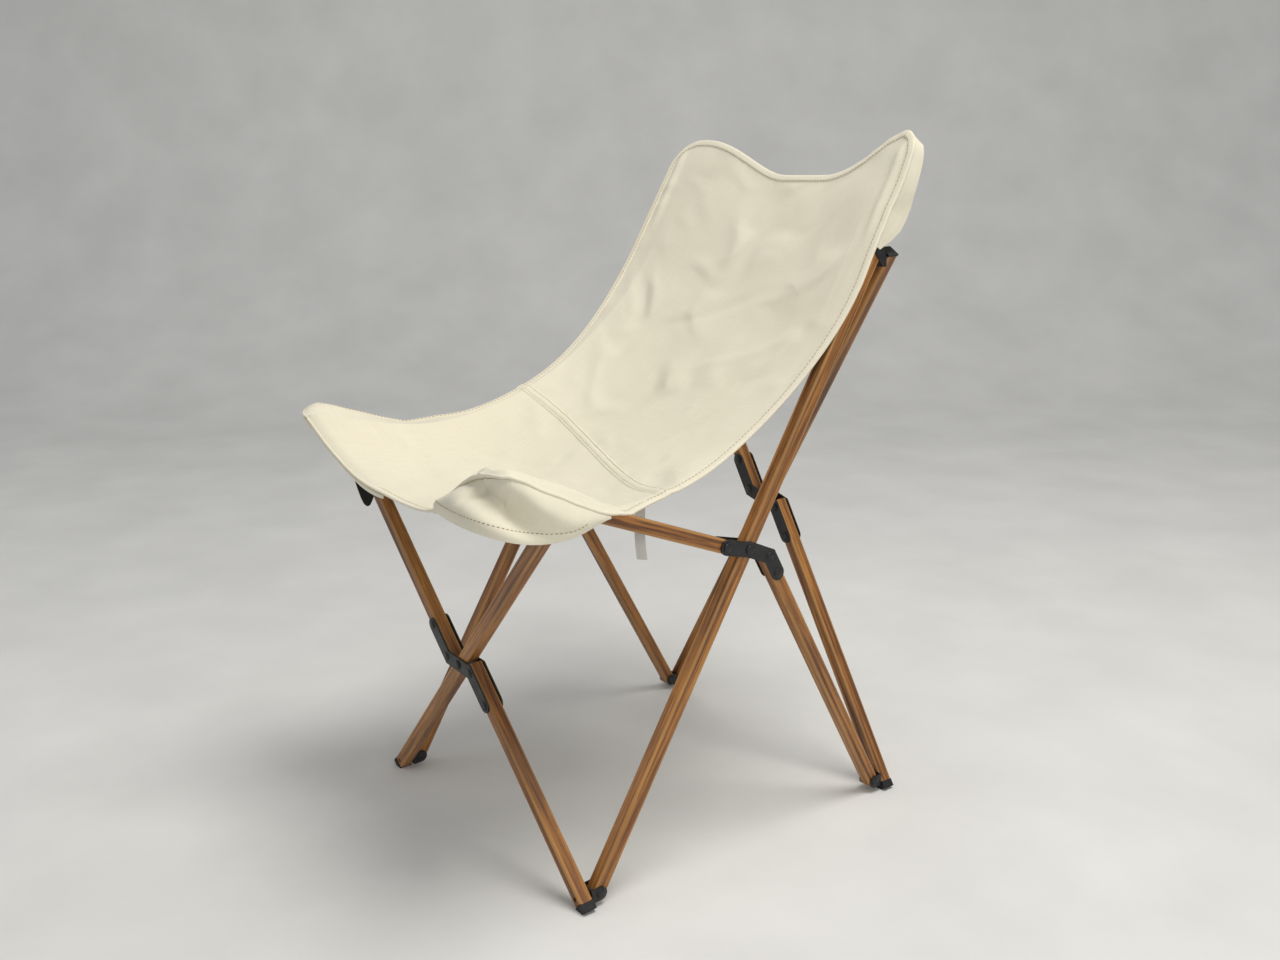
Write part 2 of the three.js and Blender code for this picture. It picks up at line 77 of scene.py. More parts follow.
# Each edge: held by the rail for this length, leaves it along and above, meets the long bar.
LEFT_EDGE = (219.0, (199.0, 88.0), 86.0)
RIGHT_EDGE = (20.0, (340.0, 10.0), 60.0)
FRONT_DIP = np.array([40.0, -94.0])    # middle of the front edge, in and down from its corners
TOP_DIP = np.array([-8.0, -52.0])      # middle of the top edge, forward and down from its corners
DIP_SKEW = (0.08, -0.18)               # lowest line, right of the middle in front, left at the top
DIP_POWER = 2.5                        # how squarely the cloth hollows
TOP_HOLLOW = (0.18, 0.95)              # start and end of the slope from the top's dip to its corners
TOP_FROM = 0.75                        # share of the length from which the top's hollow takes over
SEAT_PULL = np.array([230.0, -50.0])   # how the middle line leaves the front edge
BACK_LEAN = 420.0                      # how far it follows the long bars' slope below the top
SEAM_AT = 0.369                        # seam between seat and back, as a share of the length
SEAM_SKEW = 0.087                      # further forward at the left edge, further back at the right
SEAM_BEND = 0.045                      # turns back toward the crosswise line at both edges
CANVAS_THICK = 1.7
TAPE_WIDE, TAPE_THICK = 11.0, 4.2

# Relief of the canvas, millimetres: the ridges over the bars, the far front edge's lip, the roll and the
# hollow inside the left front corner, and the lapped seam with its two rows of stitches.
# A ridge has its height, the shares of the length over which it rises and falls, how far inside the side
# plane it lies, and its width.
LEFT_RAIL_RIDGE = (5.0, (0.03, 0.09), (0.14, 0.25), 4.0, 13.0)
RIGHT_RAIL_RIDGE = (4.0, (0.0, 0.03), (0.06, 0.16), 4.0, 13.0)
BAR_RIDGE = (3.5, (0.80, 0.87), (0.95, 0.99), 2.0, 8.0)
LIP_DEEP, LIP_WIDE, LIP_ENDS = 7.0, 18.0, (-0.6, -0.2)
ROLL_HIGH, ROLL_IN, ROLL_WIDE, ROLL_TURN = 9.0, 15.0, 10.0, 8.0
ROLL_BEGINS, ROLL_ENDS = (0.3, 0.62), (0.1, 0.22)  # shares of half width, and of length
HOLLOW_DEEP, HOLLOW_IN, HOLLOW_WIDE = 2.5, 42.0, 16.0
SEAM_STITCH, SEAM_LAP, SEAM_FURROW, SEAM_EDGE = 4.6, 1.7, 1.7, (6.5, 8.5)

# When the frame folds, the panels part here: the seat turns with the rails, the back with the long bars.
FOLD_AT, FOLD_BOW = 0.28, 0.01


def unit(vectors):
    """The same directions, with length one."""
    return vectors / np.maximum(np.linalg.norm(vectors, axis=-1, keepdims=True), 1e-12)


def turned(vector):
    """A direction in the side plane, a quarter turn on."""
    return np.array([-vector[1], vector[0]])


def run_along(points):
    """The distance walked to each point of a line."""
    return np.concatenate([[0], np.cumsum(np.linalg.norm(np.diff(points, axis=0), axis=1))])


def grid_facing(points):
    """Unit normals of a grid of points."""
    return unit(np.cross(np.gradient(points, axis=1), np.gradient(points, axis=0)))


def crossing(off):
    """The step at which a row of offsets changes sign, and the share of that step before it does."""
    k = np.nonzero(off[:-1] * off[1:] <= 0)[0][0]
    return k, off[k] / (off[k] - off[k + 1])


long_way = unit(BACK_TOP - FRONT_FOOT)
pivot = FRONT_FOOT + PIVOT_ALONG * long_way
rail_rivet = pivot + RAIL_RIVET
rail_way = unit(RAIL_TIP - rail_rivet)
rail_up = -turned(rail_way)
long_up = turned(long_way)
front_corner = RAIL_TIP + FRONT_OVER * rail_way + STAND_OFF * rail_up
back_corner = BACK_TOP + (LONG_BEYOND + BACK_OVER) * long_way + STAND_OFF * long_up
meets_bar = back_corner - BAR_HELD * long_way
pivot_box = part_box("side_pivot_left")
frame_shift = (pivot_box[0].y + pivot_box[1].y) / 2 / MM - pivot[0]


def bowed(a, b, c, d):
    """Points of a cubic curve through a and d."""
    t = np.linspace(0, 1, 240)[:, None]
    return (1 - t) ** 3 * a + 3 * t * (1 - t) ** 2 * b + 3 * t * t * (1 - t) * c + t ** 3 * d


class EvenLine:
    """A line in the side plane, walked by share of its length."""

    def __init__(self, points):
        self.points = np.asarray(points)
        run = run_along(self.points)
        self.length = run[-1]
        self.share = run / run[-1]

    def at(self, v):
        """The points at shares v."""
        return np.stack([np.interp(v, self.share, self.points[:, k]) for k in (0, 1)], -1)


def sling_edge(rail_held, leave, meet):
    """A side edge: along the rail, then hanging free, then along the long bar."""
    leaves = front_corner - rail_held * rail_way
    leaving = leaves - leave[0] * rail_way + leave[1] * rail_up
    free = bowed(leaves, leaving, meets_bar - meet * long_way, meets_bar)
    return EvenLine(np.vstack([[front_corner], free, [back_corner]]))


left_edge = sling_edge(*LEFT_EDGE)
right_edge = sling_edge(*RIGHT_EDGE)
front_middle = front_corner + FRONT_DIP
top_middle = back_corner + TOP_DIP
middle_line = EvenLine(bowed(front_middle, front_middle + SEAT_PULL,
                             top_middle - BACK_LEAN * long_way, top_middle))


def smooth(v, low, high):
    """Rises from 0 at low to 1 at high, level at both ends."""
    t = np.clip((v - low) / (high - low), 0, 1)
    return t * t * (3 - 2 * t)


def between(v, rise, fall):
    """Rises from 0 to 1 over one span, and falls back to 0 over another."""
    return smooth(v, *rise) * (1 - smooth(v, *fall))


def round_corner(u, v):
    """Turns the cut's square corners round; u is the share of its half width, v of its length."""
    along = np.minimum(v, 1 - v) * left_edge.length
    corner = np.where(v < 0.5, np.where(u > 0, CORNERS["front_left"], CORNERS["front_right"]),
                      np.where(u > 0, CORNERS["back_left"], CORNERS["back_right"]))
    a = np.clip(1 - (1 - np.abs(u)) * SIDE_X / corner, 0, 1)
    b = np.clip(1 - along / corner, 0, 1)
    narrower = corner * a * (1 - np.sqrt(1 - b * b / 2)) / SIDE_X
    shorter = corner * b * (1 - np.sqrt(1 - a * a / 2)) / left_edge.length
    return u - np.sign(u) * narrower, np.where(v < 0.5, v + shorter, v - shorter)


def hung(u, v):
    """The sling's hanging surface in millimetres, before its corners are rounded."""
    edge = np.where((u > 0)[..., None], left_edge.at(v), right_edge.at(v))
    drawn = between(v, TURNS_IN, TURNS_OUT)
    corner = SIDE_X + FRONT_OUT + (BACK_OUT - FRONT_OUT) * v
    reach = corner + (SIDE_X - SLING_IN - corner) * drawn
    sagging = np.minimum(reach, SIDE_X - HALF_BAR - LIES_FLAT)
    place = np.clip(u * reach / sagging, -1, 1)
    skewed = np.abs(place + (DIP_SKEW[0] + (DIP_SKEW[1] - DIP_SKEW[0]) * v) * (1 - place * place))
    near_top = smooth(v, TOP_FROM, 1.0)
    share = (skewed ** DIP_POWER * (1 - near_top) + smooth(skewed, *TOP_HOLLOW) * near_top)[..., None]
    yz = middle_line.at(v) * (1 - share) + edge * share
    return np.stack([u * reach, yz[..., 0] + frame_shift, yz[..., 1]], -1)


def facing(u, v):
    """Unit normals of the hanging surface, towards the sitter."""
    step = 0.004
    across = hung(np.clip(u + step, -1, 1), v) - hung(np.clip(u - step, -1, 1), v)
    along = hung(u, np.clip(v + step, 0, 1)) - hung(u, np.clip(v - step, 0, 1))
    return unit(np.cross(across, along))


def seam_at(u):
    """Share of the sling's length at which the seam runs."""
    return SEAM_AT - SEAM_SKEW * u + SEAM_BEND * u ** 3


def fold_at(u):
    """Share of the sling's length at which the panels part."""
    return FOLD_AT + FOLD_BOW * u * u


# Creases in the canvas: from (x, y) to (x, y) on the flat cut in millimetres, then width and height.
CREASES = [
    (-150, 340, -40, 470, 9, 1.87), (-90, 330, 30, 480, 7, 1.53), (40, 350, 150, 470, 8, -1.36),
    (120, 300, 215, 390, 7, 1.7), (-200, 520, -40, 640, 12, 1.53), (-150, 560, 90, 690, 10, -1.19),
    (10, 520, 190, 610, 9, 1.36), (60, 650, 210, 720, 10, 1.36), (-60, 150, 90, 250, 12, 1.53),
    (-210, 90, -90, 220, 11, 2.04), (100, 110, 215, 215, 9, 1.7), (-190, 200, -20, 290, 10, -1.36),
]
# A crease rises and falls over these shares of its length, and bows aside by so many millimetres.
CREASE_RISES, CREASE_FALLS, CREASE_BOW = (-0.15, 0.3), (0.7, 1.15), 9.0
SLOW_WAVE, QUICK_WAVE, PUCKER, PUCKER_REACH = 1.5, 0.8, 0.55, 24.0
EDGE_CALM, END_CALM = 0.12, 0.05       # wrinkles fade to the rim over these shares of half width and length


def wrinkles(u, v):
    """How far the canvas stands off its hanging surface, in millimetres."""
    x, y = u * SIDE_X, v * left_edge.length
    lift = SLOW_WAVE * np.sin(x / 47 + 0.7 * np.sin(y / 83)) * np.sin(y / 71 + 0.9)
    lift += QUICK_WAVE * np.sin((x + 0.6 * y) / 29 + np.sin(x / 61)) * np.sin((y - x) / 58)
    for x0, y0, x1, y1, width, height in CREASES:
        run = math.hypot(x1 - x0, y1 - y0)
        ax, ay = (x1 - x0) / run, (y1 - y0) / run
        along = ((x - x0) * ax + (y - y0) * ay) / run
        off = (x - x0) * -ay + (y - y0) * ax + CREASE_BOW * np.sin(along * 3.0)
        lift += height * between(along, CREASE_RISES, CREASE_FALLS) * np.exp(-(off / width) ** 2)
    from_seam = y - seam_at(u) * left_edge.length
    pucker = np.sin(x / 5.2 + 1.4 * np.sin(x / 23)) * (0.6 + 0.4 * np.sin(x / 37))
    lift += PUCKER * pucker * np.exp(-(np.abs(from_seam) / PUCKER_REACH) ** 1.5)
    return lift * smooth(1 - np.abs(u), 0.0, EDGE_CALM) * between(v, (0.0, END_CALM), (1 - END_CALM, 1.0))


def over_bars(u, v):
    """The rounded ridge where the canvas is drawn over a rail or a long bar, and the front edge's lip."""
    off = np.abs(u) * (SIDE_X + FRONT_OUT) - SIDE_X

    def ridge(high, rise, fall, inside, wide):
        """The height of one ridge."""
        return high * between(v, rise, fall) * np.exp(-((off + inside) / wide) ** 2)

    ridges = np.where(u > 0, ridge(*LEFT_RAIL_RIDGE), ridge(*RIGHT_RAIL_RIDGE)) + ridge(*BAR_RIDGE)
    lip = np.clip(1 - v * left_edge.length / LIP_WIDE, 0, 1)
    return ridges - LIP_DEEP * lip * lip * (1 - smooth(u, *LIP_ENDS))


def corner_roll(u, v):
    """The slack roll of canvas just inside the rim of the left front corner."""
    front, side = v * left_edge.length, (1 - u) * SIDE_X
    inside = -ROLL_TURN * np.log(np.exp(-front / ROLL_TURN) + np.exp(-side / ROLL_TURN) + 1e-12)
    where = smooth(u, *ROLL_BEGINS) * (1 - smooth(v, *ROLL_ENDS))
    roll = ROLL_HIGH * np.exp(-((inside - ROLL_IN) / ROLL_WIDE) ** 2)
    hollow = HOLLOW_DEEP * np.exp(-((inside - HOLLOW_IN) / HOLLOW_WIDE) ** 2)
    return where * (roll - hollow)


# How far the canvas has settled from its drawn lines, millimetres, by share of half width or of length:
# back and up where it moves both ways, up, down or in where it moves one way.
FRONT_SETTLED = [
    (-0.85, 0, 0), (-0.7, 0, -4), (-0.5, 0, -3), (-0.3, 0, 0), (0.2, 0, 1), (0.3, 0, 3), (0.4, 0, 10),
    (0.5, 2, 9), (0.6, 8, 7), (0.7, 13, 2.5), (0.8, 15, -3), (0.85, 17, -8), (0.9, 14, -7.5),
    (0.95, 10, -3.5), (1, 5, 0.5)]
LEFT_SETTLED = [(0, 0, 0), (0.02, -8, 3.6), (0.04, -11, 7.7), (0.06, -5, 5), (0.08, 0, 0)]
LEFT_DOWN = [(0.08, 0), (0.12, 2.5), (0.14, 5), (0.18, 7), (0.2, 6), (0.22, 3), (0.26, 0)]
RIGHT_UP = [(0, 0), (0.02, 6.5), (0.04, 12), (0.06, 13), (0.08, 12), (0.12, 8), (0.2, -5), (0.25, 0)]
TOP_UP = [
    (0.3, 0), (0.4, -3.5), (0.5, -8), (0.6, -11), (0.7, -9), (0.8, -1), (0.86, 4), (0.92, 6),
    (0.96, 6), (1, 5)]
BACK_LEFT_IN = [
    (0.7, 0), (0.76, 1), (0.8, 3), (0.84, 4), (0.86, 4), (0.88, 5), (0.9, 4), (0.92, 3.5), (0.94, 4.5),
    (0.96, 6), (0.97, 7), (0.99, 6.5), (1, 5)]
IN_WAY = np.array([0.5, 0.8, 0.0])
# Each shift is whole at its own edge, and gone at this share of half width or of length.
FRONT_GONE, SIDE_GONE, TOP_GONE, DOWN_GONE, IN_GONE = 0.09, 0.72, 0.88, 0.955, 0.8


def read(at, table):
    """The columns of a table, at the given shares."""
    shares, *columns = np.array(table, float).T
    return np.stack([np.interp(at, shares, column) for column in columns], -1)


def settled(u, v):
    """The shift of the canvas at its edges and corners, fading inwards."""
    left, right = smooth(u, SIDE_GONE, 1.0)[..., None], smooth(-u, SIDE_GONE, 1.0)[..., None]
    yz = read(u, FRONT_SETTLED) * (1 - smooth(v, 0.0, FRONT_GONE))[..., None] + read(v, LEFT_SETTLED) * left
    yz[..., 1:] += read(v, RIGHT_UP) * right + read(u, TOP_UP) * smooth(v, TOP_GONE, 1.0)[..., None]
    yz[..., 1:] -= read(v, LEFT_DOWN) * smooth(u, DOWN_GONE, 1.0)[..., None]
    drawn = read(v, BACK_LEFT_IN) * smooth(u, IN_GONE, 1.0)[..., None]
    return np.concatenate([0 * drawn, yz], -1) - drawn * IN_WAY


def seam_lap(u, v):
    """The lapped seam: a band that stands up from the canvas, with a furrow at each row of stitches."""
    off = (v - seam_at(u)) * left_edge.length
    band = 1 - smooth(np.abs(off), *SEAM_EDGE)
    furrows = np.exp(-((np.abs(off) - SEAM_STITCH) / 1.1) ** 2)
    return SEAM_LAP * band - SEAM_FURROW * furrows


def canvas_at(u, v, lift=0.0):
    """A point on the canvas in metres, with its creases and seam; lift is in millimetres."""
    u, v = np.broadcast_arrays(np.asarray(u, float), np.asarray(v, float))
    shift, roll = settled(u, v), corner_roll(u, v)
    u, v = round_corner(u, v)
    normal = facing(u, v)
    off = wrinkles(u, v) + over_bars(u, v) + seam_lap(u, v) + roll + lift
    return (hung(u, v) + shift + normal * off[..., None]) * MM, normal


# Looks: every colour is an sRGB hex value.
def linear(colour):
    """The linear colour of an sRGB hex value."""
    parts = [int(colour[i:i + 2], 16) / 255 for i in (1, 3, 5)]
    return [c / 12.92 if c <= 0.04045 else ((c + 0.055) / 1.055) ** 2.4 for c in parts] + [1.0]


def add(tree, kind, inputs=None, stops=None, **settings):
    """Adds a node with its settings, its input values or links, and the stops of a colour ramp."""
    node = tree.nodes.new("ShaderNode" + kind)
    for name, value in settings.items():
        setattr(node, name, value)
    for name, value in (inputs or {}).items():
        if isinstance(value, bpy.types.NodeSocket):
            tree.links.new(value, node.inputs[name])
        else:
            node.inputs[name].default_value = value
    if stops:
        ramp = node.color_ramp.elements
        while len(ramp) < len(stops):
            ramp.new(0.5)
        for element, (place, colour) in zip(ramp, stops):
            element.position = place
            element.color = linear(colour)
    return node


def blank(name, **values):
    """A new material and its node tree, with plain values on its shader."""
    material = bpy.data.materials.new(name)
    material.use_nodes = True
    tree = material.node_tree
    shader = tree.nodes["Principled BSDF"]
    for socket, value in values.items():
        shader.inputs[socket.replace("_", " ")].default_value = value
    return material, tree, shader


def walnut(name, centre, along, across, seed):
    """Oiled walnut, planed and eased: straight dark grain streaks run the length of the bar, pores catch the
    light as short dashes, and the long edges are painted paler, a painted highlight where the eased edges
    catch the light."""
    material, tree, shader = blank(name)
    to_bar = Matrix([along, np.cross(across, along), across])
    place = add(tree, "TexCoord")
    local = add(tree, "Mapping", {
        "Vector": place.outputs["Object"], "Rotation": to_bar.to_euler(),
        "Location": -(to_bar @ Vector(centre))})
    stretched = add(tree, "Mapping", {
        "Vector": local.outputs["Vector"], "Scale": (0.035, 1, 1), "Location": (seed * 0.37, seed * 0.11, 0)})
    # Streaks 4 mm wide and about 110 mm long.
    streak = add(tree, "TexNoise", {
        "Vector": stretched.outputs["Vector"], "Scale": 1 / 0.004, "Detail": 5.0, "Roughness": 0.62,
        "Distortion": 0.35})
    # Growth bands about 11 mm apart.
    band = add(tree, "TexNoise", {
        "Vector": stretched.outputs["Vector"], "Scale": 1 / 0.011, "Detail": 2.0, "Distortion": 0.8})
    both = add(tree, "Math", {
        0: streak.outputs["Fac"], 1: band.outputs["Fac"]}, operation="ADD")
    half = add(tree, "Math", {0: both.outputs[0], 1: 0.5}, operation="MULTIPLY")
    tone = add(tree, "ValToRGB", {"Fac": half.outputs[0]}, stops=[
        (0.34, "#3a2110"), (0.44, "#6d421f"), (0.54, "#9d672f"), (0.68, "#c2863e")])
    # Pores are about 0.3 mm wide; drawn at 0.9 mm so that they show.
    pore = add(tree, "TexNoise", {
        "Vector": stretched.outputs["Vector"], "Scale": 1 / 0.0009, "Detail": 2.0})
    dash = add(tree, "MapRange", {
        "Value": pore.outputs["Fac"], "From Min": 0.56, "From Max": 0.68, "To Min": 0.0, "To Max": 0.55})
    pored = add(tree, "Mix", {0: dash.outputs[0], 6: tone.outputs["Color"], 7: linear("#3a2414")},
                data_type="RGBA")
    # Edges: the bar is 18 mm square, so the two offsets from its axis add up past 14 mm only there.
    size = add(tree, "VectorMath", {0: local.outputs["Vector"]}, operation="ABSOLUTE")
    parts = add(tree, "SeparateXYZ", {0: size.outputs[0]})
    corner = add(tree, "Math", {0: parts.outputs["Y"], 1: parts.outputs["Z"]}, operation="ADD")
    # Painted highlight: the colour goes paler toward #c99a5c along the long edges, where the eased edges
    # catch the light.
    edge_highlight = add(tree, "MapRange", {
        "Value": corner.outputs[0], "From Min": 0.0140, "From Max": 0.0162, "To Min": 0.0, "To Max": 0.42})
    coloured = add(tree, "Mix", {0: edge_highlight.outputs[0], 6: pored.outputs[2], 7: linear("#c99a5c")},
                   data_type="RGBA")
    tree.links.new(coloured.outputs[2], shader.inputs["Base Color"])
    gloss = add(tree, "MapRange", {
        "Value": half.outputs[0], "From Min": 0.35, "From Max": 0.7, "To Min": 0.5, "To Max": 0.36})
    tree.links.new(gloss.outputs[0], shader.inputs["Roughness"])
    rough = add(tree, "Math", {0: dash.outputs[0], 1: streak.outputs["Fac"]}, operation="SUBTRACT")
    bump = add(tree, "Bump", {"Height": rough.outputs[0], "Strength": 0.25, "Distance": 0.0002}, invert=True)
    tree.links.new(bump.outputs[0], shader.inputs["Normal"])
    return material


def coated_steel():
    """Pressed steel with a black powder coat: satin, with the faint orange peel of the baked powder
    and a little grey where plates rub."""
    material, tree, shader = blank("powder_coated_steel")
    place = add(tree, "TexCoord")
    # Peel about 1.2 mm across.
    peel = add(tree, "TexNoise", {"Vector": place.outputs["Object"], "Scale": 1 / 0.0012, "Detail": 3.0})
    rub = add(tree, "TexNoise", {"Vector": place.outputs["Object"], "Scale": 1 / 0.014, "Detail": 5.0,
                                 "Roughness": 0.7})
    tone = add(tree, "ValToRGB", {"Fac": rub.outputs["Fac"]}, stops=[
        (0.35, "#111214"), (0.62, "#1b1c1f"), (0.78, "#33353a")])
    tree.links.new(tone.outputs["Color"], shader.inputs["Base Color"])
    gloss = add(tree, "MapRange", {"Value": rub.outputs["Fac"], "From Min": 0.3, "From Max": 0.8,
                                   "To Min": 0.5, "To Max": 0.36})
    tree.links.new(gloss.outputs[0], shader.inputs["Roughness"])
    bump = add(tree, "Bump", {"Height": peel.outputs["Fac"], "Strength": 0.3, "Distance": 0.0002})
    tree.links.new(bump.outputs[0], shader.inputs["Normal"])
    return material


def moulded_nylon():
    """Glass-filled nylon end caps, moulded black: dull, with a fine spark-eroded grain and scuffed dust."""
    material, tree, shader = blank("moulded_nylon", Roughness=0.62)
    place = add(tree, "TexCoord")
    # The real grain is about 0.2 mm; drawn at 0.8 mm so that it shows.
    grain = add(tree, "TexNoise", {"Vector": place.outputs["Object"], "Scale": 1 / 0.0008, "Detail": 2.0})
    dust = add(tree, "TexNoise", {"Vector": place.outputs["Object"], "Scale": 1 / 0.009, "Detail": 6.0,
                                  "Roughness": 0.75})
    tone = add(tree, "ValToRGB", {"Fac": dust.outputs["Fac"]}, stops=[
        (0.4, "#121212"), (0.6, "#1a1a1a"), (0.8, "#3a3936")])
    tree.links.new(tone.outputs["Color"], shader.inputs["Base Color"])
    bump = add(tree, "Bump", {"Height": grain.outputs["Fac"], "Strength": 0.35, "Distance": 0.00025})
    tree.links.new(bump.outputs[0], shader.inputs["Normal"])
    return material


def woven(name, dark, mid, light, spacing, depth, crumple=0.0):
    """Cotton woven one over one and piece-dyed: matt, with a small even grain from the crossing threads,
    thicker slubs here and there, and a slow change of tone over the cloth."""
    material, tree, shader = blank(name, Roughness=0.94, Sheen_Weight=0.12, Sheen_Roughness=0.6)
    place = add(tree, "UVMap")
    # A wave texture repeats every 0.314 m at scale 1; one repeat covers two threads.
    repeat = 0.314159 / (2 * spacing)
    warp = add(tree, "TexWave", {"Vector": place.outputs["UV"], "Scale": repeat}, bands_direction="X")
    weft = add(tree, "TexWave", {"Vector": place.outputs["UV"], "Scale": repeat}, bands_direction="Y")
    warp_off = add(tree, "Math", {0: warp.outputs["Fac"], 1: 0.5}, operation="SUBTRACT")
    weft_off = add(tree, "Math", {0: weft.outputs["Fac"], 1: 0.5}, operation="SUBTRACT")
    weave = add(tree, "Math", {0: warp_off.outputs[0], 1: weft_off.outputs[0]}, operation="MULTIPLY")
    slub_way = add(tree, "Mapping", {"Vector": place.outputs["UV"], "Scale": (1, 0.05, 1)})
    slub = add(tree, "TexNoise", {"Vector": slub_way.outputs["Vector"], "Scale": 1 / (2.2 * spacing),
                                  "Detail": 2.0})
    cross_way = add(tree, "Mapping", {"Vector": place.outputs["UV"], "Scale": (0.05, 1, 1)})
    cross_slub = add(tree, "TexNoise", {"Vector": cross_way.outputs["Vector"], "Scale": 1 / (2.2 * spacing),
                                        "Detail": 2.0})
    slubs = add(tree, "Math", {0: slub.outputs["Fac"], 1: cross_slub.outputs["Fac"]}, operation="ADD")
    cloud = add(tree, "TexNoise", {"Vector": place.outputs["UV"], "Scale": 1 / 0.16, "Detail": 2.0})
    grain = add(tree, "Math", {0: slubs.outputs[0], 1: 0.3}, operation="MULTIPLY")
    threads = add(tree, "Math", {0: weave.outputs[0], 1: grain.outputs[0]}, operation="ADD")
    mixed = add(tree, "Math", {0: cloud.outputs["Fac"], 1: 0.25}, operation="MULTIPLY")
    level = add(tree, "Math", {0: threads.outputs[0], 1: mixed.outputs[0]}, operation="ADD")
    tone = add(tree, "ValToRGB", {"Fac": level.outputs[0]}, stops=[
        (0.14, dark), (0.42, mid), (0.70, light)])
    tree.links.new(tone.outputs["Color"], shader.inputs["Base Color"])
    # Packing creases: sharp little ridges about 45 mm apart that come and go over the cloth.
    ridges = add(tree, "TexNoise", {"Vector": place.outputs["UV"], "Scale": 1 / 0.09, "Detail": 3.0,
                                    "Distortion": 0.6}, noise_type="RIDGED_MULTIFRACTAL")
    coming = add(tree, "MapRange", {"Value": cloud.outputs["Fac"], "From Min": 0.28, "From Max": 0.52})
    crumpled = add(tree, "Math", {0: ridges.outputs["Fac"], 1: coming.outputs[0]}, operation="MULTIPLY")
    creased = add(tree, "Bump", {"Height": crumpled.outputs[0], "Strength": 0.8, "Distance": crumple})
    bump = add(tree, "Bump", {"Height": threads.outputs[0], "Normal": creased.outputs[0], "Strength": 0.3,
                              "Distance": depth})
    tree.links.new(bump.outputs[0], shader.inputs["Normal"])
    return material


# Canvas threads are about 0.7 mm apart; drawn at 1.2 mm so that they show.
canvas = woven("cotton_canvas", "#dcd5bd", "#e4dec9", "#eae5d2", 0.0012, 0.0003, 0.014)
binding = woven("cotton_binding_tape", "#ded6bd", "#e9e2cc", "#f0ead8", 0.0011, 0.0003)
# The sewing thread is a darker tan than the canvas, partly its own colour and partly painted shade: its rows
# draw the dark shadow line along the binding's inner edge.
thread = woven("sewing_thread_with_painted_shade", "#a79c80", "#b3a88c", "#c0b699", 0.0004, 0.0001)
hem_thread = woven("tan_hem_thread", "#857654", "#98885f", "#a8986f", 0.0004, 0.0001)
tag_tape = woven("grey_tag_tape", "#c0bfbb", "#d2d1cd", "#e0dfdb", 0.0009, 0.0002)
# Painted shade: the pockets' inner faces are near-black, standing in for the dark shade inside the pockets.
painted_shade_lining = woven("pocket_inside_painted_shade", "#0c0c0e", "#141416", "#1e1e21", 0.0014, 0.0003)
steel = coated_steel()
nylon = moulded_nylon()


# The frame keeps its solids and takes its finishes.
def middle_and_way(name):
    """The middle of a bar and the direction of its length."""
    points = np.array([v.co for v in bpy.data.objects[name].data.vertices])
    centre = (points.min(0) + points.max(0)) / 2
    way = np.linalg.svd(points - points.mean(0), full_matrices=False)[2][0]
    return centre, way


def dress(name, material):
    """Gives a solid of the frame its finish."""
    slots = bpy.data.objects[name].data.materials
    slots.clear()
    slots.append(material)


side_bars = [f"{bar}_{side}" for bar in ("long_bar", "rear_leg", "seat_rail") for side in ("left", "right")]
scissor_bars = {end: [f"{end}_{bar}" for bar in ("solid_bar", "split_lower", "split_upper")]
                for end in ("front", "back")}
square_to = {name: np.array([1.0, 0, 0]) for name in side_bars}
for names in scissor_bars.values():
    flat = unit(np.cross(middle_and_way(names[0])[1], middle_and_way(names[1])[1]))
    square_to |= {name: flat for name in names}
for seed, (name, across) in enumerate(square_to.items(), 1):
    centre, way = middle_and_way(name)
    dress(name, walnut(f"walnut_{name}", centre, way, across, seed))
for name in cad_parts:
    if name in square_to or name.startswith(("sling", "pocket", "blank")):
        continue
    dress(name, nylon if "_cap_" in name else steel)


# Cloth and tape as meshes.
def made(name, verts, faces, uv, materials, inside=(), shading=None):
    """A smooth mesh; faces listed as inside take the second material, and shading gives its own normals."""
    mesh = bpy.data.meshes.new(name)
    mesh.from_pydata(np.asarray(verts).tolist(), [], faces)
    layer = mesh.uv_layers.new(name="cloth")
    corners = np.zeros(len(mesh.loops), np.int32)
    mesh.loops.foreach_get("vertex_index", corners)
    layer.data.foreach_set("uv", np.asarray(uv, np.float32)[corners].ravel())
    for material in materials:
        mesh.materials.append(material)
    mesh.polygons.foreach_set("use_smooth", [True] * len(mesh.polygons))
    for face in inside:
        mesh.polygons[face].material_index = 1
    mesh.set_sharp_from_angle(angle=math.radians(50))
    if shading is not None:
        mesh.normals_split_custom_set_from_vertices(shading.tolist())
    piece = bpy.data.objects.new(name, mesh)
    bpy.context.scene.collection.objects.link(piece)
    return piece


def closed_sheet(name, points, normals, thick, uv, materials, shaded=False):
    """A cloth with two faces and a rim; its second material goes on the face away from the normals."""
    rows, columns = points.shape[:2]
    half = np.broadcast_to(np.asarray(thick) / 2 * MM, (rows, columns))[..., None]
    verts = np.concatenate([(points + normals * half).reshape(-1, 3),
                            (points - normals * half).reshape(-1, 3)])
    count = rows * columns
    index = np.arange(count).reshape(rows, columns)
    quads = [index[:-1, :-1], index[:-1, 1:], index[1:, 1:], index[1:, :-1]]
    front = np.stack([corner.ravel() for corner in quads], 1)
    back = front[:, ::-1] + count
    rim = np.concatenate([index[0, :-1], index[:-1, -1], index[-1, :0:-1], index[:0:-1, 0]])
    following = np.roll(rim, -1)
    around = np.stack([following, rim, rim + count, following + count], 1)
    faces = np.concatenate([front, back, around]).tolist()
    inside = range(len(front), 2 * len(front)) if len(materials) > 1 else ()
    shading = np.concatenate([normals.reshape(-1, 3), -normals.reshape(-1, 3)]) if shaded else None
    return made(name, verts, faces, np.concatenate([uv.reshape(-1, 2)] * 2), materials, inside, shading)


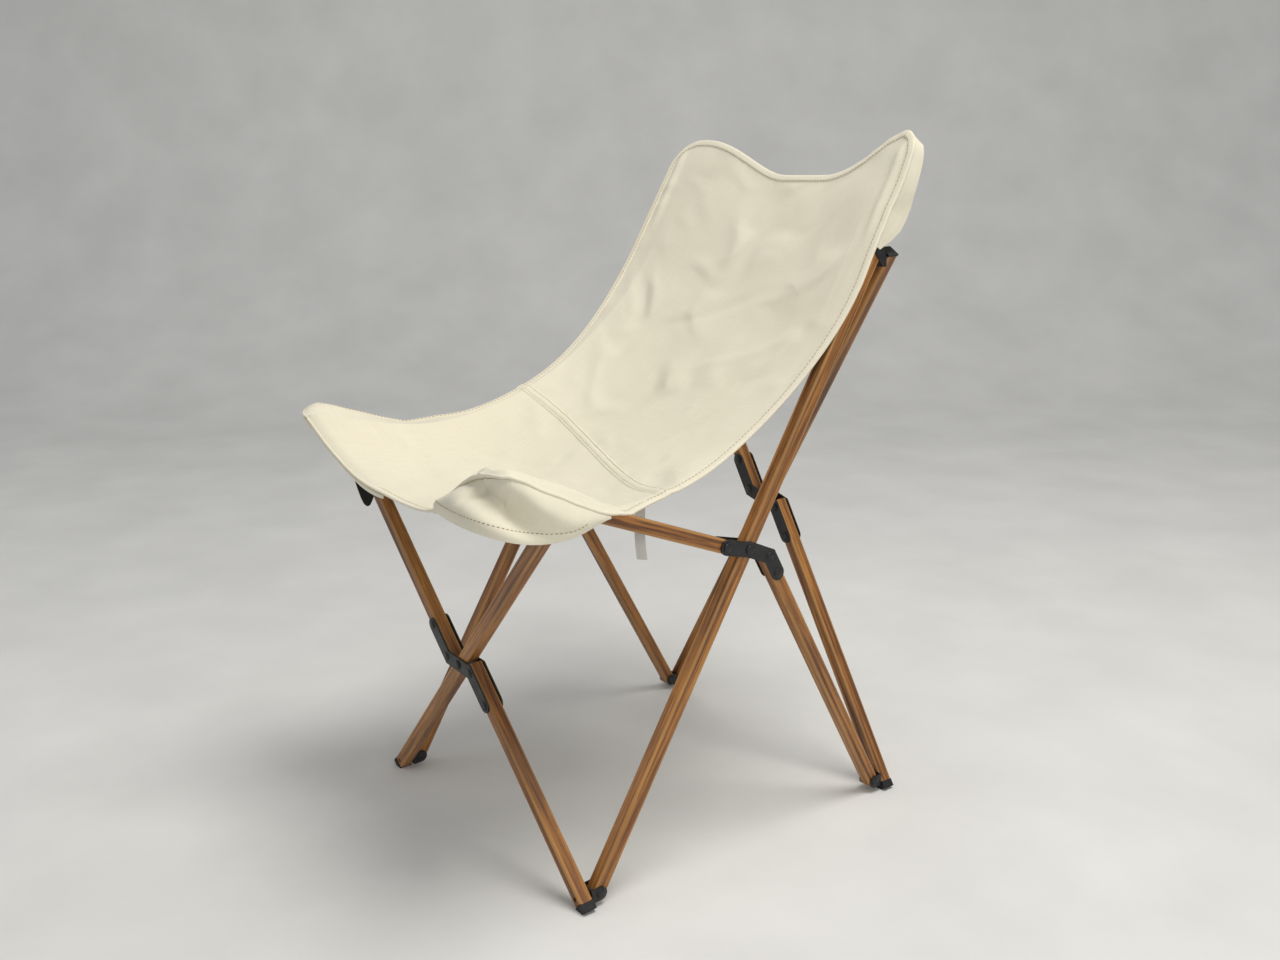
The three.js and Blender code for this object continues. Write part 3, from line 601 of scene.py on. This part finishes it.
def tape(name, path, normals, wide, thick, material, squareness=0.62):
    """A folded tape swept along a path, flat against the cloth it binds."""
    ways = unit(np.gradient(path, axis=0))
    inward = unit(np.cross(ways, normals))
    up = np.cross(inward, ways)
    turns = np.linspace(0, 2 * math.pi, 14, endpoint=False)
    flat = np.sign(np.cos(turns)) * np.abs(np.cos(turns)) ** squareness * wide / 2 * MM
    lift = np.sign(np.sin(turns)) * np.abs(np.sin(turns)) ** squareness * thick / 2 * MM
    rings = path[:, None] + inward[:, None] * flat[None, :, None] + up[:, None] * lift[None, :, None]
    index = np.arange(rings.shape[0] * rings.shape[1]).reshape(rings.shape[:2])
    following = np.roll(index, -1, axis=1)
    faces = np.stack([index[:-1], following[:-1], following[1:], index[1:]], -1).reshape(-1, 4).tolist()
    faces += [index[0, ::-1].tolist(), index[-1].tolist()]
    run = run_along(path)
    uv = np.stack(np.broadcast_arrays(run[:, None], (turns * wide * MM / math.pi)[None]), -1).reshape(-1, 2)
    return made(name, rings.reshape(-1, 3), faces, uv, [material])


# A stitch: shares of its length, with its height above the cloth in millimetres and its share of full width.
STITCH_FORM = [(0.0, -0.3, 0.35), (0.2, 0.25, 1.0), (0.8, 0.25, 1.0), (1.0, -0.3, 0.35)]


def stitches(name, path, normals, material, length=3.6, gap=1.9, wide=0.9):
    """A row of stitches: each one a thread that dips into the cloth at both ends."""
    run = run_along(path) / MM
    verts, faces = [], []

    def at(place, values):
        """The values at a place along the row, in millimetres."""
        return np.array([np.interp(place, run, values[:, k]) for k in range(3)])

    for start in np.arange(gap, run[-1] - length, length + gap):
        first = len(verts)
        way = unit(at(start + length, path) - at(start, path))
        for share, lift, fat in STITCH_FORM:
            normal = unit(at(start + share * length, normals))
            beside = np.cross(way, normal)
            middle = at(start + share * length, path) + normal * lift * MM
            verts += [middle + (beside * a + normal * b) * fat * wide / 2 * MM
                      for a, b in ((1, 0), (0, 0.8), (-1, 0), (0, -0.8))]
        for ring in range(3):
            base = first + 4 * ring
            faces += [(base + k, base + (k + 1) % 4, base + 4 + (k + 1) % 4, base + 4 + k) for k in range(4)]
        faces += [(first + 3, first + 2, first + 1, first), tuple(first + 12 + k for k in range(4))]
    verts = np.array(verts)
    return made(name, verts, faces, verts[:, :2], [material])


# The sling's two panels, each in three strips: those over the bars move with the bars as the chair folds,
# and only the middle one gets a mesh of its own. Rows crowd together at the seam, so that its lap keeps its
# form.
STRIP_X = 205.0
STRIP_COLUMNS = {"right": 24, "middle": 96, "left": 24}
BESIDE_SEAM = np.array([2, 3.6, 4.6, 5.6, 6.5, 7.5, 8.5, 9.5])
at_seam = np.concatenate([-BESIDE_SEAM[::-1], [0], BESIDE_SEAM]) / left_edge.length
before_seam = np.linspace(0, 1, 26, endpoint=False)
past_seam = np.linspace(0, 1, 101)[1:]
# Each row lies at a share of the fold line, a share of the seam line, and a share of the length.
seat_rows = np.stack([np.linspace(0, 1, 60) ** 1.15, np.zeros(60), np.zeros(60)])
back_rows = np.concatenate([
    np.stack([1 - before_seam, before_seam, before_seam * at_seam[0]]),
    np.stack([0 * at_seam, 1 + 0 * at_seam, at_seam]),
    np.stack([0 * past_seam, 1 - past_seam, past_seam + (1 - past_seam) * at_seam[-1]])], 1)


def strip_edge(side, row_at):
    """The share of half width at which each row reaches the strips' edge on one side."""
    u = np.full(row_at(0.0).shape, 0.8 * side)
    for _ in range(10):
        u = u + (side * STRIP_X - canvas_at(u, row_at(u))[0][..., 0] / MM) / SIDE_X
    return u


def panel(name, rows):
    """One panel of the sling as three strips, which share their normals where they meet."""
    of_fold, of_seam, beyond = rows[..., None]

    def row_at(u):
        """Share of the sling's length at which each row runs."""
        return of_fold * fold_at(u) + of_seam * seam_at(u) + beyond

    right, left = strip_edge(-1, row_at), strip_edge(1, row_at)
    ends = {"right": (-1, right), "middle": (right, left), "left": (left, 1)}
    u = np.concatenate([start + (stop - start) * np.linspace(0, 1, STRIP_COLUMNS[strip])
                        for strip, (start, stop) in ends.items()], 1)
    v = row_at(u)
    points = canvas_at(u, v)[0]
    uv = np.stack([u * SIDE_X * MM, v * left_edge.length * MM], -1)
    # Two strips repeat the column where they meet, so the normals are worked out without it.
    repeated = np.cumsum(list(STRIP_COLUMNS.values()))[:-1]
    normals = grid_facing(np.delete(points, repeated, axis=1))
    strips, first = {}, 0
    for passed, (strip, columns) in enumerate(STRIP_COLUMNS.items()):
        cut = slice(first, first + columns)
        shared = normals[:, first - passed:first - passed + columns]
        piece = closed_sheet(f"{name}_{strip}", points[:, cut], shared, CANVAS_THICK, uv[:, cut],
                             [canvas], shaded=True)
        strips[strip] = (piece, points[:, cut])
        first += columns
    return strips


seat = panel("canvas_seat", seat_rows)
back = panel("canvas_back", back_rows)


# Binding tape round the rim, with its row of stitches. It stands out past the cut edge by TAPE_OUT.
TAPE_OUT = 1.6
TAPE_STITCH_IN = TAPE_WIDE - 3.4


def rim_of(places, inset, lift):
    """A line through places (u, v) on the rim, set in from the edge and lifted off the canvas."""
    path, normals = canvas_at(*np.array(places, float).T)
    inward = unit(np.cross(np.gradient(path, axis=0), normals))
    return path + (inward * inset + normals * lift) * MM, normals


def seat_rim():
    """Round the seat from the left side to the right, by way of the front edge."""
    down = np.linspace(fold_at(1.0), 0, 60)
    side = np.linspace(1, -1, 110)
    return [(1, v) for v in down] + [(u, 0) for u in side[1:-1]] + [(-1, v) for v in down[::-1]]


def back_rim():
    """Round the back from the right side to the left, by way of the top edge."""
    up = np.linspace(fold_at(1.0), 1, 110)
    side = np.linspace(-1, 1, 110)
    return [(-1, v) for v in up] + [(u, 1) for u in side[1:-1]] + [(1, v) for v in up[::-1]]


def parted(path, normals):
    """A line round the rim, cut where the strips meet."""
    rest, parts = np.concatenate([path, normals], 1), []
    first = np.sign(path[0, 0])
    for edge in (first * STRIP_X, -first * STRIP_X):
        k, share = crossing(rest[:, 0] / MM - edge)
        cut = rest[k] + (rest[k + 1] - rest[k]) * share
        parts.append(np.vstack([rest[:k + 1], cut]))
        rest = np.vstack([cut, rest[k + 1:]])
    names = ("left", "middle", "right") if first > 0 else ("right", "middle", "left")
    return {name: (part[:, :3], part[:, 3:]) for name, part in zip(names, parts + [rest])}


def bound(name, rim):
    """The binding tape and its stitches, strip by strip."""
    tapes = parted(*rim_of(rim, TAPE_WIDE / 2 - TAPE_OUT, 0))
    rows = parted(*rim_of(rim, TAPE_STITCH_IN, TAPE_THICK / 2))
    return {strip: [tape(f"binding_{name}_{strip}", *tapes[strip], TAPE_WIDE, TAPE_THICK, binding),
                    stitches(f"binding_stitches_{name}_{strip}", *rows[strip], thread)] for strip in tapes}


seat_binding = bound("seat", seat_rim())
back_binding = bound("back", back_rim())


def seam_row(offset):
    """A line beside the seam, on the canvas's upper face."""
    u = np.linspace(-0.9, 0.9, 160)
    return canvas_at(u, seam_at(u) + offset / left_edge.length, CANVAS_THICK / 2)


seam_stitches = [stitches(f"seam_stitches_{k}", *seam_row(offset), thread)
                 for k, offset in enumerate((-SEAM_STITCH, SEAM_STITCH))]

# Corner pockets: each hangs from the rim around its corner, and its hem is turned and stitched.
# A form is how deep the pocket hangs, in millimetres, by share of its rim from the end edge to the side edge.
FAR_POCKET = [
    (0, 4), (0.12, 8), (0.3, 12), (0.42, 12), (0.56, 4), (0.68, 4), (0.73, 45), (0.77, 104), (0.795, 127),
    (0.815, 133), (0.835, 128), (0.87, 100), (0.93, 26), (0.97, 4), (1, 3)]
FAR_FLAP_FROM = 0.66
BACK_POCKET = [
    (0, 6), (0.2, 14), (0.45, 17), (0.52, 18), (0.64, 22), (0.72, 24), (0.78, 28), (0.83, 30),
    (0.88, 27), (0.93, 20), (1, 6)]
POCKET_LEAST = 3.0
POCKET_LEAN = 0.7
POCKET_THICK, HEM_EXTRA, HEM = 1.8, 0.9, 12.0
POCKET_PATTERN = 0.42
DOWN = np.array([0.0, 0.0, -1.0])
BACKWARD = np.array([0.0, 1.0, 0.0])
LEFT_FRONT = np.array([1.0, -1.0, 0.0])
BEHIND = np.array([0.0, -long_up[0], -long_up[1]])
ALONG_BACK = np.array([0.0, -long_way[0], -long_way[1]])
CHAIR_MIDDLE = np.array([0.0, frame_shift - 100.0, 500.0])
SIGNS = {"left": 1, "right": -1}


def hem_thick(hang, depth):
    """A pocket's thickness: more below the hem's stitches, where the pocket is deep enough to have them."""
    return POCKET_THICK + HEM_EXTRA * smooth(hang, depth - HEM - 1, depth - HEM + 1) * smooth(depth, 14, 24)


def hem_row(points, normals, depth, lift):
    """The line of the hem's stitches, HEM above the pocket's lower edge and lifted off the cloth."""
    rows, columns = points.shape[:2]
    at = np.clip((depth - HEM) / depth, 0, 1) * (rows - 1)
    above = np.floor(at).astype(int).clip(0, rows - 2)
    part = (at - above)[:, None]
    column = np.arange(columns)
    out = normals[above, column]
    return points[above, column] * (1 - part) + points[above + 1, column] * part + out * lift * MM, out


def pocket_part(name, grid, cut, mirrored, shaded=False):
    """A part of a pocket, canvas outside and near-black painted shade inside: its cloth, room for its
    stitches, its points.
    """
    cloth = [g[:, cut][:, ::-1] if mirrored else g[:, cut] for g in grid]
    return [closed_sheet(name, *cloth, [canvas, painted_shade_lining], shaded), None, grid[0][:, cut]]


# The left front pocket's hem, millimetres in the side frame's own place, from front to side.
LEFT_HEM = np.array([
    (146, -370, 490), (190, -379, 494), (230, -378, 493), (256, -369, 489), (260, -350, 483),
    (261, -329, 478), (260, -293.5, 472.5), (258, -267, 473.5), (257, -243, 481.5)], float)
# How far the pouch swells, millimetres, and the shares of its rim over which it rises and falls.
POUCH_SWELL, POUCH_RISES, POUCH_FALLS = 12.0, (0.0, 0.22), (0.8, 1.0)
# A dent and a crease pressed into the pouch: millimetres deep, then, in shares of the rim and of the depth,
# the place along the rim, how it slants, its width, the place down the pocket and its height.
POUCH_MARKS = [(32.0, 0.589, 0.30, 0.11, 0.48, 0.38), (7.0, 0.45, -0.10, 0.028, 0.35, 0.22)]


def even_walk(points, count):
    """The same line, at even distances."""
    run = run_along(points)
    places = np.linspace(0, run[-1], count)
    return np.stack([np.interp(places, run, points[:, k]) for k in range(3)], -1)


def two_walks(points, columns):
    """Even steps up to the strip's edge and from there on, half of the columns each."""
    k, share = crossing(points[:, 0] - STRIP_X)
    cut = points[k] + (points[k + 1] - points[k]) * share
    half = columns // 2 + 1
    return np.vstack([even_walk(np.vstack([points[:k + 1], cut]), half),
                      even_walk(np.vstack([cut, points[k + 1:]]), half)[1:]])


def pouch_lines(from_u, to_v, under, columns):
    """The rim that the left front pocket hangs from, and its hem, column by column in millimetres."""
    u = np.concatenate([np.linspace(from_u, 1, 120), np.ones(120)])
    v = np.concatenate([np.zeros(120), np.linspace(0, to_v, 120)])
    rim = canvas_at(u, v)[0] / MM + DOWN * under
    hem = LEFT_HEM + np.array([0.0, frame_shift, 0.0])
    hem = np.vstack([rim[:1] + DOWN * POCKET_LEAST, hem, rim[-1:] + DOWN * POCKET_LEAST])
    run = run_along(hem)
    places = np.linspace(0, run[-1], 200)
    curve = np.stack([np.polyval(np.polyfit(run, hem[:, k], 6), places) for k in range(3)], -1)
    curve[0], curve[-1] = hem[0], hem[-1]
    return two_walks(rim, columns), two_walks(curve, columns)


def pouch_facing(points):
    """Normals of the left front pocket, away from the chair, and whether the grid runs the other way."""
    normals = grid_facing(points)
    mirrored = normals[points.shape[0] // 2, points.shape[1] // 2] @ LEFT_FRONT < 0
    return (-normals if mirrored else normals), mirrored


def soft_pocket(name, from_u, to_v, under, columns=97, rows=19):
    """The left front pocket: a slack pouch round the corner, with a dent pressed into its middle."""
    rim, hem = pouch_lines(from_u, to_v, under, columns)
    t = np.linspace(0, 1, rows)[:, None]
    run = run_along(rim)
    s = (run / run[-1])[None]
    flat = rim * (1 - t[..., None]) + hem * t[..., None]
    puff = POUCH_SWELL * np.sin(math.pi * t ** 1.15) ** 0.8
    pressed = sum(
        deep * np.exp(-((s - along - slant * (t - below)) / wide) ** 2 - ((t - below) / tall) ** 2)
        for deep, along, slant, wide, below, tall in POUCH_MARKS)
    swell = (puff - pressed) * between(s, POUCH_RISES, POUCH_FALLS)
    shaped = (flat + pouch_facing(flat)[0] * swell[..., None]) * MM
    normals, mirrored = pouch_facing(shaped)
    depth = np.linalg.norm(hem - rim, axis=1)
    hang = t * depth
    uv = np.stack(np.broadcast_arrays(s * POCKET_PATTERN, hang * MM), -1)
    grid = [shaped, normals, hem_thick(hang, depth), uv]
    path, out = hem_row(shaped, normals, depth, 1.3)
    parts = {"end": slice(0, columns // 2 + 1), "side": slice(columns // 2, columns)}
    pieces = {part: pocket_part(f"{name}_{part}", grid, cut, mirrored, shaded=True)
              for part, cut in parts.items()}
    for part, cut in parts.items():
        row = np.arange(columns)[cut][depth[cut] > 22]
        pieces[part][1] = stitches(f"{name}_{part}_stitches", path[row], out[row], hem_thread)
    return pieces


def pocket(name, sign, end, from_u, to_v, drop, lean, under, form, flap_from=None, rows=15):
    """A flat pocket from share from_u of the end edge round the corner to share to_v of the side edge.

    Where it has a hanging flap, that is cut as a part of its own."""
    s = np.linspace(0.004, 0.996, 97)
    u = np.where(s < 0.5, from_u + (1 - from_u) * np.minimum(1, s * 2), 1.0) * sign
    v = np.where(s < 0.5, end, end + (to_v - end) * np.maximum(0, s * 2 - 1))
    depth = read(s, form)[:, 0]
    hang = np.linspace(0, 1, rows)[:, None] * depth
    slope = np.where(s < 0.5, np.sin(2 * math.pi * s), 0.0)
    rim = canvas_at(u, v)[0] / MM
    points = rim + drop * (under + hang)[..., None] + lean * (slope * hang)[..., None]
    normals = grid_facing(points)
    outward = np.sign(((points - CHAIR_MIDDLE) * normals).sum())
    normals = normals * outward
    uv = np.stack([np.broadcast_to(s * POCKET_PATTERN, hang.shape), hang * MM], -1)
    k, share = crossing(np.abs(points[0, :, 0]) - STRIP_X)
    grid = [np.insert(g, k + 1, g[:, k] + (g[:, k + 1] - g[:, k]) * share, axis=1)
            for g in (points * MM, normals, hem_thick(hang, depth), uv)]
    parts = {"end": slice(0, k + 2), "side": slice(k + 1, None)}
    if flap_from:
        flap = np.searchsorted(s, flap_from) + 1
        parts |= {"corner": slice(k + 1, flap + 1), "side": slice(flap, None)}
    pieces = {part: pocket_part(f"{name}_{part}", grid, cut, outward < 0) for part, cut in parts.items()}
    stitched = depth > 30
    if stitched.sum() > 8:
        path, out = hem_row(points * MM, normals, depth, 1.2)
        pieces["side"][1] = stitches(f"{name}_stitches", path[stitched], out[stitched], thread)
    return pieces


front_pockets = {
    "left": soft_pocket("canvas_pocket_front_left", from_u=0.28, to_v=0.2, under=2.4),
    "right": pocket("canvas_pocket_front_right", -1, end=0.0, from_u=0.28, to_v=0.19, drop=DOWN,
                    lean=BACKWARD * POCKET_LEAN, under=3.2, form=FAR_POCKET, flap_from=FAR_FLAP_FROM)}
back_pockets = {
    side: pocket(f"canvas_pocket_back_{side}", sign, end=1.0, from_u=0.5, to_v=0.818, drop=BEHIND,
                 lean=ALONG_BACK * POCKET_LEAN, under=2.0, form=BACK_POCKET)
    for side, sign in SIGNS.items()}

# A blank tag of grey tape sewn under the left edge.
TAG_WIDE, TAG_LONG, TAG_THICK, TAG_TILT, TAG_TURN = 13.0, 70.0, 0.8, 0.07, 0.7
tag_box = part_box("blank_tag")
tag_top = np.array([(tag_box[0].x + tag_box[1].x) / 2, (tag_box[0].y + tag_box[1].y) / 2, tag_box[1].z])
down_tag = np.linspace(0, 1, 24)[:, None]
across_tag = np.linspace(-0.5, 0.5, 7)[None]
tag_curl = 3.0 * np.sin(down_tag * 2.6) + 0.8 * np.cos(across_tag * 3) * down_tag
tag_points = tag_top + np.stack(np.broadcast_arrays(
    across_tag * TAG_WIDE * math.cos(TAG_TURN) + down_tag * TAG_LONG * TAG_TILT,
    across_tag * TAG_WIDE * math.sin(TAG_TURN) - tag_curl, -down_tag * TAG_LONG), -1) * MM
tag_normals = np.broadcast_to(np.array([math.sin(TAG_TURN), -math.cos(TAG_TURN), 0.0]), tag_points.shape)
tag_uv = np.stack(np.broadcast_arrays(across_tag * TAG_WIDE, down_tag * TAG_LONG), -1) * MM
tag = closed_sheet("plain_tag", tag_points, tag_normals, TAG_THICK, tag_uv, [tag_tape])


def carry(piece, body, draws_in=False, stands_for=None):
    """Puts a piece on its body, gives it a mesh of its own if it draws in, and hides the solid it stands for.
    """
    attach(piece, body)
    if draws_in:
        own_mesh(piece)
    if stands_for:
        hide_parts(stands_for)


for name, strips, bindings, body, bar in (("seat", seat, seat_binding, "rail", "seat_rail"),
                                          ("back", back, back_binding, "long", "long_bar")):
    for strip, (piece, points) in strips.items():
        in_middle = strip == "middle"
        rides = f"{body}_left" if in_middle else f"{body}_{strip}"
        sewn = bindings[strip] + (seam_stitches if in_middle and name == "back" else [])
        carry(piece, rides, draws_in=in_middle, stands_for=f"sling_{name}")
        for trim in sewn:
            carry(trim, rides, draws_in=in_middle)
for side in SIGNS:
    for place, pockets, body, bar in (("front", front_pockets, "rail", "seat_rail"),
                                      ("back", back_pockets, "long", "long_bar")):
        for part, (piece, sewn, points) in pockets[side].items():
            at_end = part == "end"
            rides = f"{body}_left" if at_end else f"{body}_{side}"
            carry(piece, rides, draws_in=at_end, stands_for=f"pocket_{place}_{side}")
            if sewn:
                carry(sewn, rides, draws_in=at_end)
carry(tag, "rail_left", stands_for="blank_tag")

# Floor and backdrop, metres: one sheet that sweeps up from the floor into a wall.
FLOOR_NEAR, FLOOR_FAR, FLOOR_HALF, SWEEP_R, WALL_TOP = -6.0, 2.6, 9.0, 1.6, 6.0
backdrop_way, backdrop_side = np.array([-0.80, 0.60]), np.array([0.60, 0.80])
sweep = [(FLOOR_NEAR, 0.0), (FLOOR_FAR, 0.0)]
sweep += [(FLOOR_FAR + SWEEP_R * math.sin(a), SWEEP_R - SWEEP_R * math.cos(a))
          for a in np.linspace(0.1, math.pi / 2, 14)]
sweep += [(FLOOR_FAR + SWEEP_R, WALL_TOP)]
floor_points = [(*(backdrop_way * run + backdrop_side * aside), height)
                for run, height in sweep for aside in (-FLOOR_HALF, FLOOR_HALF)]
floor_faces = [(2 * k, 2 * k + 1, 2 * k + 3, 2 * k + 2) for k in range(len(sweep) - 1)]
floor_mesh = bpy.data.meshes.new("floor")
floor_mesh.from_pydata(floor_points, [], floor_faces)
floor_mesh.polygons.foreach_set("use_smooth", [True] * len(floor_mesh.polygons))
floor = bpy.data.objects.new("floor", floor_mesh)
bpy.context.scene.collection.objects.link(floor)
# Floated plaster, sealed and matt: pale, with the slow clouds that the float leaves, about 250 mm across.
plaster, tree, shader = blank("pale_floor_plaster", Roughness=0.9)
place = add(tree, "TexCoord")
cloud = add(tree, "TexNoise", {"Vector": place.outputs["Object"], "Scale": 1 / 0.25, "Detail": 8.0})
tone = add(tree, "ValToRGB", {"Fac": cloud.outputs["Fac"]}, stops=[(0.3, "#dededc"), (0.7, "#e8e8e6")])
tree.links.new(tone.outputs["Color"], shader.inputs["Base Color"])
floor_mesh.materials.append(plaster)


# Soft daylight: a wide lamp overhead, weaker ones at the left side and the right front, and an even sky.
def lamp(name, place, size, power, colour):
    """A round lamp that faces the middle of the chair."""
    data = bpy.data.lights.new(name, "AREA")
    data.shape = "DISK"
    data.size = size
    data.energy = power
    data.color = linear(colour)[:3]
    light = bpy.data.objects.new(name, data)
    light.location = place
    light.rotation_euler = (Vector((0, 0, 0.45)) - Vector(place)).to_track_quat("-Z", "Y").to_euler()
    bpy.context.scene.collection.objects.link(light)


lamp("skylight", (0.9, 0.4, 3.3), 1.7, 64.0, "#fffcf6")
lamp("side_window", (2.7, -0.1, 1.3), 1.4, 14.0, "#fffaf0")
lamp("front_window", (-1.9, -2.7, 1.0), 1.6, 9.0, "#f8faff")
world = bpy.data.worlds.new("even_sky")
world.use_nodes = True
world.node_tree.nodes["Background"].inputs["Color"].default_value = linear("#f2f3f5")
world.node_tree.nodes["Background"].inputs["Strength"].default_value = 0.42
bpy.context.scene.world = world

# Camera: the photograph's place; the focal length is in pixels of a frame FRAME_PX wide.
FRAME_PX = 1280
AZIMUTH, ELEVATION, ROLL, DISTANCE, FOCAL_PX = 0.9394, 0.242, -0.0126, 1.7989, 1293.96
target = Vector((0.0004, (9.6 + frame_shift) * MM, 0.4462))
back_way = Vector((math.sin(AZIMUTH) * math.cos(ELEVATION), -math.cos(AZIMUTH) * math.cos(ELEVATION),
                   math.sin(ELEVATION)))
right_way = Vector((math.cos(AZIMUTH), math.sin(AZIMUTH), 0))
up_way = back_way.cross(right_way)
rolled_right = math.cos(ROLL) * right_way + math.sin(ROLL) * up_way
rolled_up = math.cos(ROLL) * up_way - math.sin(ROLL) * right_way
lens = bpy.data.cameras.new("camera")
lens.sensor_width = 36.0
lens.sensor_fit = "HORIZONTAL"
lens.lens = FOCAL_PX / FRAME_PX * lens.sensor_width
camera = bpy.data.objects.new("camera", lens)
basis = Matrix((rolled_right, rolled_up, back_way)).transposed()
camera.matrix_world = Matrix.Translation(target + back_way * DISTANCE) @ basis.to_4x4()
bpy.context.scene.collection.objects.link(camera)
bpy.context.scene.camera = camera
bpy.context.scene.view_settings.view_transform = "Standard"
